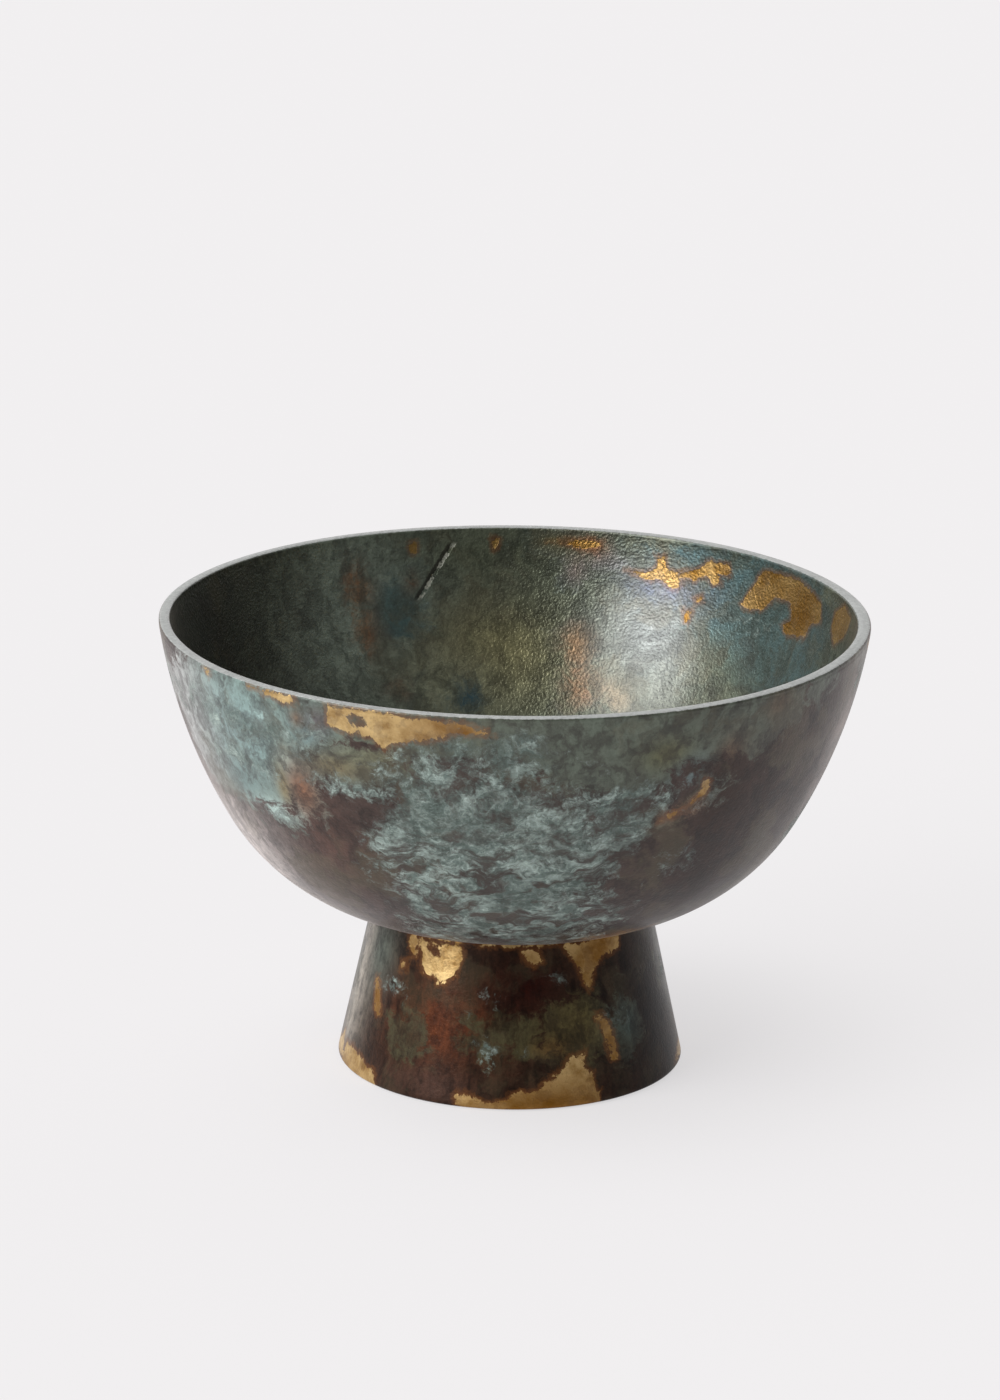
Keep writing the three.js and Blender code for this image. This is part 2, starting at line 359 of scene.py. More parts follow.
def patina(name, satin, gloss, coat, dust, pebble, strokes, veil):
    """The patina of a casting. Its ground is a wash of colour, partly under a stain with a ragged edge.
    Verdigris is crusted on these in wisps, with the ground in the gaps. Gold lies on top in ragged
    patches with a rusty edge, browner where it is tarnished. The lip is rubbed bare, hidden faces are
    left as cast, and one scratch crosses the back wall inside the bowl. Satin is the roughness, gloss and
    coat the shine of the skin and of the lacquer, dust a bloom at the edges, pebble the grain of the cast
    skin, strokes the marks of the brush, and veil the olive and dark clouds in the ground."""
    material, here, place = new_finish(name)

    def carried(key, output="Fac"):
        """A number or colour that the mesh carries at its points."""
        return here.node("Attribute", {"attribute_name": key}, {}, output)

    inner, teal, raw = carried("inner"), carried("teal"), carried("raw")
    height = place.along((0.0, 0.0, 1.0))
    loose = place.drifted(60, 4, 0.6, 0.03)
    drawn = place.drifted(45, 3, 0.55, 0.03).stretched(1, 1, 3.0)
    ruffled = place.drifted(55, 4, 0.6, 0.03).stretched(1, 1, 1.3)
    grain = place.noise(650, 4, 0.7)
    brushed = place.stretched(1, 1, 0.25).noise(420, 3, 0.6)
    felted = loose.stretched(1, 1, 1.7).noise(110, 7, 0.72)
    cloudy = loose.noise(48, 5, 0.6)

    # The ground is dabbed and brushed on, stained in patches and clouded by two thin veils. Its wash and
    # stain also hold painted sheen along the edges, and painted shade and a painted highlight inside the
    # bowl.
    dabs = loose.stretched(1, 1, 0.6).noise(150, 5, 0.65).rise(0.36, 0.64)
    uneven = 0.6 * dabs + 0.6 * felted + 0.6 * grain + strokes * (brushed - 0.5)
    stained = carried("stained") + (felted - 0.5) * 26 + (cloudy - 0.5) * 26
    stained = (stained * (1 - inner * 0.6)).rise(-2, 3)
    ground = carried("wash", "Color").times(uneven)
    ground = ground.under(stained * (0.6 + 0.4 * dabs), carried("stain", "Color").times(uneven + 0.1))
    ground = ground.under(loose.noise(34, 4, 0.6).rise(0.5, 0.64) * veil, (98, 90, 68))
    ground = ground.under(cloudy.rise(0.5, 0.72) * veil, (50, 40, 34))

    # Verdigris is combed level low on the belly and ruffled higher up, with pale strands and flecks in it.
    low = 1 - height.rise(0.100, 0.132)
    combed = drawn.noise(75, 6, 0.66)
    tufted = ruffled.noise(85, 6, 0.68)
    cover = (teal + (cloudy - 0.5) * 24 + (felted - 0.5) * 32).rise(-3, 6)
    matted = low * combed.rise(0.38, 0.56) + (1 - low) * (tufted + teal * 0.003).rise(0.38, 0.60)
    crust = cover * matted
    dense = ruffled.noise(42, 4, 0.6).rise(0.38, 0.62)
    strands = low * drawn.ridges(75, 6, 0.7, 0.4) + (1 - low) * ruffled.ridges(90, 6, 0.7, 0.5)
    flecks = place.drifted(120, 3, 0.6, 0.012).stretched(1, 1, 1.8).noise(330, 4, 0.7)
    wisps = strands.rise(1.2, 2.3) * felted.rise(0.36, 0.6) + flecks.rise(0.53, 0.68) * 0.7
    wisps = crust * wisps * (0.45 + dense)
    crusted = (dense * 0.1 + felted * 0.5 + grain * 0.4).rise(0.36, 0.66)
    colour = ground.under(cover * 0.4, (54, 51, 45))
    colour = colour.under(crust * 0.85, crusted.shade((64, 78, 73), (110, 126, 120)))
    colour = colour.under(wisps * 0.55, (168, 183, 176))

    # Gold has a ragged, rusty edge, is worn through in specks, and is a deeper, darker ochre inside the
    # bowl: partly its own tone, partly painted shade.
    ragged = carried("gold") + (loose.noise(210, 6, 0.65) - 0.5) * (7 - inner * 3)
    worn = place.noise(160, 4, 0.65).rise(0.50, 0.60) * (0.3 - inner * 0.1) + grain.rise(0.58, 0.7) * 0.3
    leaf = ragged.rise(0.0, 0.5) * (1 - worn)
    tone = (place.noise(100, 4, 0.6) * 0.8 + grain * 0.2).rise(0.3, 0.66)
    gilt = tone.shade((126, 92, 44), (208, 178, 124)).under(carried("tarnish") * 0.85, (116, 74, 14))
    colour = colour.under(ragged.rise(-2.0, 0.0) * 0.45, (116, 72, 36))
    colour = colour.under(leaf, gilt.under(inner * 0.5, (134, 93, 10)))

    # The lip is bare metal, and the faces that nobody sees are left as they came from the sand.
    rubbed = (carried("bare") + (grain - 0.5) * 1.2 + (brushed - 0.5) * 0.8).rise(0.35, 0.65)
    bright = (grain * 0.6 + cloudy * 0.4).rise(0.3, 0.7)
    colour = colour.under(rubbed, bright.shade((144, 146, 144), (179, 181, 179)))
    sandy = (grain * 0.6 + cloudy * 0.6).rise(0.4, 0.8)
    colour = colour.under(raw, sandy.shade((66, 62, 58), (118, 115, 110)))

    # The scratch slants up the back wall, bright in its bed, with a painted shadow beside it as a dark
    # line.
    # Its middle, ends and widths are in metres, as the place is.
    scratch_slant, scratch_x, scratch_z = 1.0, -0.0294, 0.1465
    over_x, over_z = math.sin(scratch_slant), -math.cos(scratch_slant)
    aside = place.along((over_x, 0.0, over_z)) - (scratch_x * over_x + scratch_z * over_z)
    aside = aside + (grain - 0.5) * 0.0016
    span = height.rise(0.136, 0.138) * (1 - height.rise(0.1555, 0.157)) * inner
    span = span * place.along((0.0, 1.0, 0.0)).rise(0.0, 0.01)
    scratch = span * (1 - aside.unsigned().rise(0.0004, 0.0009))
    shadow = span * (1 - (aside + 0.0012).unsigned().rise(0.0004, 0.0010))
    colour = colour.under(shadow * 0.8, (30, 26, 20))
    colour = colour.under(scratch * place.noise(330, 3, 0.6).rise(0.4, 0.52), (176, 176, 164))

    # The lacquer is thinner on brown ground, gold, crust and the lip, and raw faces have none.
    brown = (1 - stained) * (1 - cover) * (1 - inner)
    lacquer = (coat + inner * 0.12) * (1 - brown * 0.6) * (1 - leaf * 0.6) * (1 - raw)
    pebbles = place.noise(1000, 2, 0.5) * (pebble + inner)
    relief = pebbles + grain * 0.4 + crust * 0.8 + wisps * 0.5 - leaf * 0.4 - scratch
    surfaced(
        here,
        Base_Color=colour,
        Metallic=(0.2 + inner * 0.3) * (1 - crust) + leaf * 0.35 + rubbed * 0.1,
        Roughness=satin - inner * 0.1 + (cloudy - 0.5) * 0.3 + crust * 0.15 + rubbed * 0.05 + raw * 0.3,
        Normal=here.node("Bump", {}, {"Strength": 0.4, "Distance": 0.0006, "Height": relief}),
        Specular_IOR_Level=gloss,
        Coat_Weight=lacquer * (1 - crust * 0.7 - rubbed * 0.7),
        Coat_Roughness=0.22,
        Sheen_Weight=dust,
        Sheen_Roughness=0.2,
        Sheen_Tint=(1.0, 0.88, 0.84, 1.0),
    )
    return material


# The profile runs up the outside from the stud's hole, through a fine crease, over the lip and down inside.
lip_foot = rim_height - lip_rise
outer_wall = wall_line(rim_radius, seat_radius, seat_height, rim_height, lip_foot - crease_start, 50)
inner_wall = wall_line(rim_radius - lip_width, seat_radius, floor_height, rim_height, lip_foot, 48)[::-1]
lip_outer = np.array([rim_radius - lip_inset, lip_foot])
lip = lip_line(lip_outer, inner_wall[0], lip_rise, 18)
crease = np.array(
    [
        [rim_radius - 0.34, lip_foot - 0.9],
        [rim_radius - 0.44, lip_foot - 0.5],
        lip_outer,
    ]
)
underside = divided(
    [
        (cap_radius, hole_top),
        (hole_radius, hole_top),
        (hole_radius, boss_bottom),
        (boss_radius - 0.8, boss_bottom),
        (boss_radius - 0.2, boss_bottom + 0.2),
        (boss_radius, boss_bottom + 0.8),
        (boss_radius, seat_height),
        (seat_radius, seat_height),
    ],
    6.0,
)[:-1]
floor_line = divided([(seat_radius, floor_height), (cap_radius, floor_height)], 3.0)[1:]
bowl_line = np.concatenate([underside, outer_wall, crease, lip, inner_wall, floor_line])
bowl_turn, bowl_radius, bowl_height = turned(bowl_line, bowl_sides)

# The wall is a little out of true, and the core of the mould sat slightly to the left.
before_lip = len(underside) + len(outer_wall) + len(crease)
inward = np.concatenate(
    [np.zeros(before_lip), np.linspace(0, 1, len(lip)), np.ones(len(inner_wall) + len(floor_line))]
)[:, None]
lift = np.clip((bowl_height - floor_height) / (rim_height - floor_height), 0, 1)
angle = np.radians(bowl_turn)
sway = 0.28 * np.cos(2 * angle + 0.6) + 0.16 * np.cos(3 * angle - 1.1) + 0.08 * np.cos(7 * angle)
bowl_points = placed(bowl_turn, bowl_radius + lift * sway, bowl_height)
bowl_points[..., 0] -= core_shift * inward * lift
bowl_points[..., 2] += lift**4 * (0.16 * np.cos(2 * angle + 2.0) + 0.1 * np.cos(5 * angle))

# A wash is a turn, height, half-width, half-height, colour and strength, in degrees and mm.
# A patch is the first four of these and sometimes a tilt, and an outline is corners of turn and height.
bowl_place = (bowl_turn, bowl_radius, bowl_height)
outside_wash_and_painted_sheen = washed(
    bowl_place,
    (62, 48, 43),
    all_round([
        (-35, 104, 15, 19, (80, 52, 42), 0.8),
        (-42, 82, 24, 12, (70, 55, 53), 0.7),
        (0, 105, 46, 40, (64, 53, 47), 0.6),
        (14, 134, 11, 9, (60, 57, 52), 0.8),
        (46, 108, 32, 28, (42, 23, 16), 0.9),
        (37, 126, 10, 17, (46, 26, 15), 0.9),
        (40, 88, 18, 12, (40, 22, 17), 0.8),
        # painted sheen: the lower left edge of the belly, pale where it catches the bright room
        (-67, 91, 27, 26, (198, 188, 184), 0.9),
        # painted sheen: a pale band down the right edge
        (74, 128, 13, 42, (136, 120, 112), 0.7),
        (4, 58, 70, 5, (96, 66, 34), 0.85),
    ]),
)
outside_stain_and_painted_sheen = washed(
    bowl_place,
    (81, 89, 78),
    all_round([
        (-50, 143, 38, 24, (120, 144, 142), 0.95),
        # painted sheen: a pale grey band along the upper left edge
        (-73, 142, 27, 40, (174, 174, 173), 0.92),
        (-45.5, 114, 14, 5, (158, 178, 172), 0.95),
        (-43, 150.5, 7, 4, (152, 176, 172), 0.85),
        (-40, 139, 3, 5, (152, 166, 156), 0.8),
        (-53, 122, 10, 7, (98, 120, 118), 0.75),
        (-35, 149, 6, 6, (110, 138, 141), 0.8),
        (-30, 138, 14, 6, (104, 92, 64), 0.85),
        (-22, 144, 14, 6, (100, 98, 72), 0.7),
        (-37.5, 125.5, 8, 11, (118, 77, 52), 0.95),
        (-42, 126, 3, 9, (116, 100, 58), 0.7),
        (-32, 154, 5, 5, (96, 90, 94), 0.85),
        (-36, 153.5, 3, 3, (110, 78, 56), 0.8),
        (25, 146, 10, 6, (84, 82, 48), 0.8),
        (30, 136, 7, 8, (88, 104, 106), 0.85),
        (50, 142, 24, 16, (66, 62, 52), 0.7),
        # painted sheen: a pale band along the upper right edge
        (74, 142, 13, 26, (136, 126, 120), 0.7),
        (46, 157, 5, 4, (100, 72, 50), 0.8),
        (37, 142, 6, 8, (84, 58, 38), 0.8),
        (29, 124, 12, 6, (108, 62, 32), 0.95),
        (28, 66, 14, 5, (136, 90, 44), 0.9),
        (86, 104, 12, 18, (112, 80, 50), 0.8),
        (92, 146, 30, 12, (84, 102, 98), 0.8),
    ]),
)
outside_stained = patches(
    bowl_place,
    all_round([
        (-54, 140, 44, 28),
        (-45.5, 114, 13, 5),
        (-37, 148, 13, 9),
        (-37.5, 125.5, 8, 11),
        (-24, 140, 24, 9),
        (0, 162, 150, 16),
        (18, 148, 44, 14),
        (38, 153, 34, 12),
        (30, 136, 7, 7),
        (29, 124, 14, 5, 35),
        (28, 66, 14, 4),
        (86, 104, 10, 16),
        (92, 146, 30, 12),
    ]),
)
outside_teal = patches(
    bowl_place,
    all_round([
        (-1, 146, 16, 10),
        (-11, 136, 24, 14),
        (-3, 112, 44, 30),
        (-2, 84, 38, 22),
        (18, 120, 12, 14),
        (25, 129, 13, 4.5),
        (-25, 130, 13, 4.5),
        (-52, 146, 30, 6),
        (-50, 132, 14, 3),
        (33, 106, 3, 2.6),
        (30, 101, 5, 3.5),
        (78, 92, 16, 10),
        (88, 146, 20, 5),
    ]),
)
outside_gold = outlines(
    bowl_place,
    drawn_round([
        [(-30, 161), (-30.5, 153.5), (-27, 151.8), (-22, 151.5), (-20.5, 147), (-19.5, 150.5), (-13, 152.3)]
        + [(-9, 155.5), (-3, 155.8), (-6, 159), (-20, 161)],
        [(-46, 160.8), (-36, 161.5), (-35.5, 159), (-38, 158), (-41, 159.4)],
        [(-58, 161), (-55.5, 161.3), (-56.5, 158.5)],
        [(32.5, 135), (34, 133), (34, 129), (31.5, 126), (30, 124), (31, 127), (32.5, 130)],
        [(29.5, 124), (28, 121), (25.5, 120.3), (27.5, 123)],
        [(14, 60.3), (24, 61.5), (33, 64.5), (40, 68.5), (33, 67), (25, 63.5)],
        [(79, 160), (92, 160), (90, 155), (86, 156), (84, 150), (82, 155)],
        [(-96, 110), (-92, 113), (-86, 112), (-88, 106), (-91, 108), (-94, 103)],
    ]),
)
worn_gold = patches(bowl_place, [(-25, 157, 3.4, 1.8, -20)])
outside_gold = np.minimum(outside_gold, -worn_gold)
inside_wash_painted_shade_and_highlight = washed(
    bowl_place,
    (86, 91, 76),
    all_round([
        # painted shade: the inner left wall, which faces away from the lamps, nearly black
        (-108, 140, 50, 45, (34, 37, 31), 0.95),
        (-149, 132, 30, 40, (148, 160, 148), 0.85),
        (-176, 116, 24, 16, (136, 128, 86), 0.8),
        (-176, 152, 34, 8, (78, 82, 64), 0.6),
        (-166, 108, 26, 14, (136, 138, 114), 0.7),
        # painted highlight: a pale patch where the lamps reflect off the far wall, trimmed below by the
        # darker wash after it
        (153, 130, 19, 21, (134, 139, 138), 0.85),
        (149, 107, 10, 7, (98, 100, 92), 0.5),
        (120, 84, 30, 14, (112, 98, 66), 0.7),
        (-140, 88, 30, 14, (64, 82, 82), 0.7),
    ]),
)
inside_stain = washed(
    bowl_place,
    (54, 72, 74),
    all_round([
        (-150.5, 134, 8, 20, (164, 108, 56), 0.95),
        (-157, 134, 12, 13, (74, 100, 100), 0.9),
        (-161, 143, 4, 5, (104, 72, 46), 0.8),
        (-171, 102, 8, 8, (46, 70, 78), 0.9),
        (-156, 107, 6, 5, (110, 78, 50), 0.8),
        (168, 120, 10, 11, (118, 92, 64), 0.9),
        (166, 106, 10, 8, (128, 92, 62), 0.85),
        (158, 104, 9, 7, (130, 116, 94), 0.9),
        (150, 144, 18, 8, (108, 112, 138), 0.9),
        (130, 142, 34, 24, (70, 90, 90), 0.9),
        (138, 112, 20, 14, (100, 110, 90), 0.8),
        (146, 156, 26, 5, (76, 104, 108), 0.9),
        (163, 151, 12, 5, (116, 112, 112), 0.85),
        (169, 147, 7, 7, (118, 104, 98), 0.8),
        (172, 157, 10, 3, (116, 102, 54), 0.9),
        (166, 156.5, 6, 4, (146, 88, 44), 0.9),
        (-120, 84, 16, 12, (120, 96, 60), 0.9),
    ]),
)
inside_stained = patches(
    bowl_place,
    all_round([
        (-150.5, 141, 5, 10),
        (-151.5, 126, 6, 8),
        (-157, 134, 12, 13),
        (-161, 143, 4, 5),
        (-171, 102, 8, 8),
        (-156, 107, 6, 5),
        (168, 120, 10, 11),
        (166, 106, 10, 8),
        (158, 104, 9, 7),
        (150, 144, 18, 8),
        (126, 142, 42, 26),
        (146, 156, 26, 5),
        (163, 151, 12, 5),
        (169, 147, 7, 7),
        (172, 157, 10, 3),
        (166, 156.5, 6, 4),
        (-120, 84, 16, 12),
        (170, 84, 26, 9),
        (110, 96, 18, 12),
    ]),
)
inside_teal = patches(bowl_place, all_round([(128, 140, 34, 6), (-165, 132, 7, 5), (166, 84, 24, 9)])) - 5
inside_gold = outlines(
    bowl_place,
    drawn_round([
        [(160, 148.5), (156, 145.5), (153, 146), (150, 143), (148.5, 146), (150, 150), (152, 151.5)]
        + [(152.5, 155.5), (154.5, 156), (154, 151), (155.5, 149)],
        [(149.5, 148), (146, 148), (143.5, 151), (142.5, 148), (140, 148.5), (141.5, 152.5), (138.5, 152)]
        + [(139, 156.5), (143.5, 157), (146, 152.5), (149.5, 151)],
        [(146, 142), (144, 144), (143.5, 141.5), (145, 140.5)],
        [(148, 138), (145.5, 138), (146, 133), (147, 133)],
        [(135.5, 144), (131, 158.5), (120, 159), (113, 155), (111.5, 148.5), (115, 145), (116, 140)]
        + [(122, 138.5), (124, 141.5), (121.5, 144.5), (123, 150), (127, 149), (129.5, 143.5), (134, 142)],
        [(107, 155), (103, 160), (97, 158), (99, 150), (104, 144), (107, 148)],
        [(-160.5, 158), (-162.5, 158), (-162.5, 153), (-161, 153)],
        [(-175.5, 158.5), (-177.5, 158), (-177, 153.5), (-176, 153)],
        [(174.5, 157), (170, 158.5), (164, 158.5), (165, 155), (168, 154.5), (171, 156)],
    ]),
) - 0.3
tarnish_depth = 14
bowl_tarnish = patches(
    bowl_place,
    all_round([
        (-8, 157, 30, 12),
        (120, 146, 36, 13),
        (169, 157, 14, 10),
        (30, 124, 14, 12),
    ]),
)
inner = inward > 0.5
hidden = (inward < 0.5) & (bowl_height < seat_height + raw_rise)
bowl = skinned(
    "cast_bowl",
    bowl_points,
    fields={
        "wash": np.where(inner[..., None], inside_wash_painted_shade_and_highlight, outside_wash_and_painted_sheen),
        "stain": np.where(inner[..., None], inside_stain, outside_stain_and_painted_sheen),
        "stained": np.where(inner, inside_stained, outside_stained),
        "teal": np.where(inner, inside_teal, outside_teal),
        "gold": np.where(inner, inside_gold, outside_gold),
        "bare": np.clip((bowl_height - rim_height + bare_depth) / bare_fade, 0, 1),
        "raw": np.where(hidden, 1.0, 0.0),
        "tarnish": np.clip(bowl_tarnish / tarnish_depth, 0, 1),
        "inner": np.where(inner, 1.0, 0.0) * np.ones(bowl_turn.shape),
    },
)
bowl_finish = patina(
    "patinated bowl", satin=0.42, gloss=0.3, coat=0.28, dust=0.26, pebble=0.5, strokes=0.6, veil=0.32
)
fitted(bowl, "bowl", bowl_finish)


# Foot
# A hollow cast aluminium cone. The deck on top is dished to take the bowl's belly, and the standing ring
# below has four pockets for pads. Its patina is a darker red-brown with more gold, under a smooth lacquer.
foot_base_radius, foot_top_radius, foot_top = 61.5, 49.0, 57.75
deck_top, deck_underside, bore_radius, rim_land = 56.7, 48.7, 12.3, 2.0
ring_bottom, ring_top, ring_inner = 0.4, 5.4, 49.5
foot_wall, patina_reach = 4.6, 2.2
gold_line_half, gold_line_drop = 0.5, 0.6
foot_sides = 240
pocket_radius, pocket_top = 4.3, 2.3
pad_circle, pad_turns = 55.5, [45, 135, 225, 315]


def cone_radius(height):
    """Radius of the foot's outside, which narrows evenly from the base to the top."""
    climbed = (height - ring_bottom) / (foot_top - ring_bottom)
    return foot_base_radius + (foot_top_radius - foot_base_radius) * climbed


def softened(corners, rounds, count):
    """Corners (radius, height) of a closed line with a round at each: an arc tangent to both sides, set
    back from the corner by the round's radius over the tangent of half the corner's angle."""
    corners = np.asarray(corners, float)
    neighbours = zip(corners, np.roll(corners, 1, 0), np.roll(corners, -1, 0), rounds)
    line = []
    for corner, before, after, size in neighbours:
        if size == 0:
            line.append(corner[None])
            continue
        back = (before - corner) / np.linalg.norm(before - corner)
        on = (after - corner) / np.linalg.norm(after - corner)
        half = np.arccos(back @ on) / 2
        middle = corner + (back + on) / np.linalg.norm(back + on) * size / np.sin(half)
        start = back * size / np.tan(half) + corner - middle
        end = on * size / np.tan(half) + corner - middle
        sweep = np.arctan2(start[0] * end[1] - start[1] * end[0], start @ end)
        swing = np.linspace(0, sweep, count)[:, None]
        line.append(middle + np.cos(swing) * start + np.sin(swing) * np.array([-start[1], start[0]]))
    return np.concatenate(line)


belly = wall_arcs(rim_radius, seat_radius, seat_height, rim_height)[3]
dish_radius = np.linspace(foot_top_radius - rim_land, seat_radius, 8)
dish_height = deck_top + belly - np.sqrt(belly**2 - (dish_radius - seat_radius) ** 2)
dish = np.stack([dish_radius, dish_height], axis=1)
foot_line = softened(
    [
        (bore_radius, deck_underside),
        (cone_radius(deck_underside) - foot_wall, deck_underside),
        (cone_radius(ring_top) - foot_wall, ring_top),
        (ring_inner, ring_top),
        (ring_inner, ring_bottom),
        (foot_base_radius, ring_bottom),
        (foot_top_radius, foot_top),
        *dish,
        (bore_radius, deck_top),
    ],
    [0.3, 6, 2.5, 1, 1, 1, 1, *[0] * len(dish), 0.3],
    6,
)
foot_line = divided(np.vstack([foot_line, foot_line[:1]]), 1.1)[:-1]
foot_place = turned(foot_line, foot_sides)
_, foot_radius, foot_height = foot_place
foot_wash_and_painted_sheen = washed(
    foot_place,
    (46, 30, 21),
    all_round([
        (-28, 27, 22, 14, (82, 40, 17), 0.85),
        (6, 43, 12, 11, (34, 5, 1), 0.95),
        (62, 26, 24, 30, (26, 19, 15), 0.85),
        (-30, 6, 22, 7, (64, 44, 36), 0.75),
        # painted sheen: a pale band down the foot's left edge
        (-79, 32, 12, 34, (152, 144, 133), 0.95),
        (-62, 46, 9, 14, (84, 92, 84), 0.8),
    ]),
)
foot_stain = washed(
    foot_place,
    (54, 50, 32),
    all_round([
        (-40, 22, 12, 10, (60, 56, 40), 0.7),
        (28, 27, 15, 11, (84, 74, 42), 0.85),
        (46, 26, 9, 14, (50, 66, 64), 0.85),
        (15, 21, 6, 3, (104, 78, 40), 0.8),
    ]),
)
foot_stained = patches(
    foot_place,
    all_round([
        (28, 27, 16, 12),
        (46, 26, 9, 14),
        (15, 21, 6, 3),
        (-40, 22, 10, 8),
        (-2, 26, 14, 8),
        (88, 36, 14, 14),
    ]),
)
foot_teal = patches(
    foot_place,
    all_round([
        (-5, 20.5, 5, 3.4),
        (42, 30, 6, 6),
        (-50, 36.4, 5, 2.4),
        (-10.5, 39, 5, 3.4),
        (18.5, 45, 2.4, 2.4),
        (84, 36, 8, 6),
    ]),
) - 3
foot_gold = outlines(
    foot_place,
    drawn_round([
        [(-46, 56), (-20, 55), (-19, 50), (-22, 45), (-26, 42), (-29, 41), (-31, 44), (-36, 44)]
        + [(-39, 48), (-44, 50)],
        [(-48.5, 46), (-45, 47), (-44, 43.5), (-47.5, 43)],
        [(4, 55.5), (12, 55.5), (12.5, 51), (9, 50), (6, 52)],
        [(21, 56.5), (50, 57), (48, 51), (40, 50), (35, 47), (32.5, 40), (31, 39), (29, 44), (26, 49.5)],
        [(32.5, 31), (35, 31), (38, 27), (40.5, 22), (41, 15), (39, 13.5), (37, 15), (36.5, 20), (35, 25)],
        [(-19, 4.5), (-15, 5.5), (-10, 4), (-8, 2.5), (0, 3.5), (1, 6), (9, 7.5), (14, 11), (19, 14)]
        + [(22, 18), (27, 19), (26, 14.5), (29.5, 12), (30, 8), (31.5, 0), (-16, 0)],
        [(-76, 9), (-63, 8.5), (-58, 6), (-53, 6), (-50, 0), (-76, 0)],
        [(-63, 37), (-60, 37), (-57, 31), (-54, 25), (-57, 23.5), (-60, 29)],
        [(74, 2), (82, 7), (94, 6), (99, 11), (104, 2)],
    ]),
)
worn_gold = patches(foot_place, [(-38.5, 48, 1.5, 5, 15), (-33, 52.5, 3, 1.4, -30)])
foot_gold = np.minimum(foot_gold, -worn_gold)
gold_line = gold_line_half - np.abs(foot_height - foot_top + gold_line_drop)
foot_gold = np.maximum(foot_gold, gold_line)
foot_tarnish = patches(
    foot_place,
    all_round([
        (14, -1, 44, 19),
        (38, 20, 14, 18),
        (-58, 30, 14, 14),
        (-62, 2, 14, 7),
        (36, 50, 20, 14),
        (8, 53, 8, 8),
        (-45, 50, 6, 12),
    ]),
)
under = foot_radius < cone_radius(foot_height) - patina_reach
foot = skinned(
    "cast_foot",
    placed(*foot_place),
    loop=True,
    fields={
        "wash": foot_wash_and_painted_sheen,
        "stain": foot_stain,
        "stained": foot_stained,
        "teal": foot_teal,
        "gold": foot_gold,
        "bare": np.zeros(under.shape),
        "raw": np.where(under, 1.0, 0.0),
        "tarnish": np.clip(foot_tarnish / tarnish_depth, 0, 1),
        "inner": np.zeros(under.shape),
    },
)

# Each pocket is cut by a plug that starts below the ring, and the plugs are then removed.
pockets = []
for turn in pad_turns:
    steps, radii, heights = turned(np.array([[pocket_radius, -1.0], [pocket_radius, pocket_top]]), 48)
    pocket = skinned("pocket", placed(steps, radii, heights) + placed(turn, pad_circle, 0.0))
    cut = foot.modifiers.new("pocket", "BOOLEAN")
    cut.operation, cut.solver, cut.object = "DIFFERENCE", "EXACT", pocket
    pockets.append(pocket)
cut_foot = bpy.data.meshes.new_from_object(foot.evaluated_get(bpy.context.evaluated_depsgraph_get()))
foot.modifiers.clear()
foot.data = cut_foot
foot.data.set_sharp_from_angle(angle=math.radians(crisp_angle))
for pocket in pockets:
    bpy.data.objects.remove(pocket)
foot_finish = patina(
    "patinated foot", satin=0.32, gloss=0.08, coat=0.18, dust=0.06, pebble=0.3, strokes=1.6, veil=0.16
)
fitted(foot, "foot", foot_finish)


# Stud
# A steel stud, 8 mm with a 1.25 mm pitch, plated in bright zinc and chamfered at both ends.
# It is screwed into the blind hole in the bowl's boss and hangs down through the bore in the foot's deck.
stud_bottom, stud_top, stud_radius = 34.9, 59.4, 4.0
pitch, thread_depth, thread_flat, stud_chamfer = 1.25, 0.68, 0.1, 1.0


def zinc(name):
    """Bright zinc plate: cold silver that dulls in patches, with fine marks all over."""
    material, here, place = new_finish(name)
    dulled = place.noise(260, 5, 0.6)
    marks = place.noise(2400, 3, 0.6)
    colour = (dulled * 0.7 + marks * 0.3).rise(0.35, 0.65).shade((158, 160, 163), (190, 192, 194))
    skin = here.node("Bump", {}, {"Strength": 0.2, "Distance": 0.0001, "Height": marks})
    surfaced(here, Base_Color=colour, Metallic=0.95, Roughness=0.2 + 0.3 * dulled, Normal=skin)
    return material


# The thread is a triangle wave that climbs one pitch each turn, flattened at its crest and root.
zinc_plate = zinc("bright zinc plate")
stud_line = divided([(stud_radius, stud_bottom), (stud_radius, stud_top)], pitch / 12)
turn_at, _, height_at = turned(stud_line, 48)
wave = np.abs((height_at / pitch - turn_at / 360) % 1 * 2 - 1)
from_end = np.minimum(height_at - stud_bottom, stud_top - height_at)
thread = np.minimum(
    stud_radius - thread_depth * np.clip((wave - thread_flat) / (1 - 2 * thread_flat), 0, 1),
    stud_radius - stud_chamfer + from_end,
)
stud = skinned("threaded_stud", placed(turn_at, thread, height_at))
fitted(stud, "stud", zinc_plate)


# Washers
# A wide flat washer that spans the bore in the deck, and a split spring washer under it, in plated steel.
# The flat one is punched, so its upper edge is rounded more. The spring washer is cut through at a slant.
washer_inner, washer_outer, washer_bottom, washer_top = 4.4, 18.0, 46.5, 48.5
spring_inner, spring_outer, spring_bottom, spring_top = 4.4, 7.4, 44.1, 46.3
slit, slit_turn, slant = 1.4, 90.0, 30.0

washer_line = softened(
    [
        (washer_inner, washer_top),
        (washer_inner, washer_bottom),
        (washer_outer, washer_bottom),
        (washer_outer, washer_top),
    ],
    [0.2, 0.2, 0.2, 0.6],
    5,
)
washer = skinned("clamp_washer_ring", placed(*turned(washer_line, 128)), loop=True)
fitted(washer, "clamp_washer", zinc_plate)

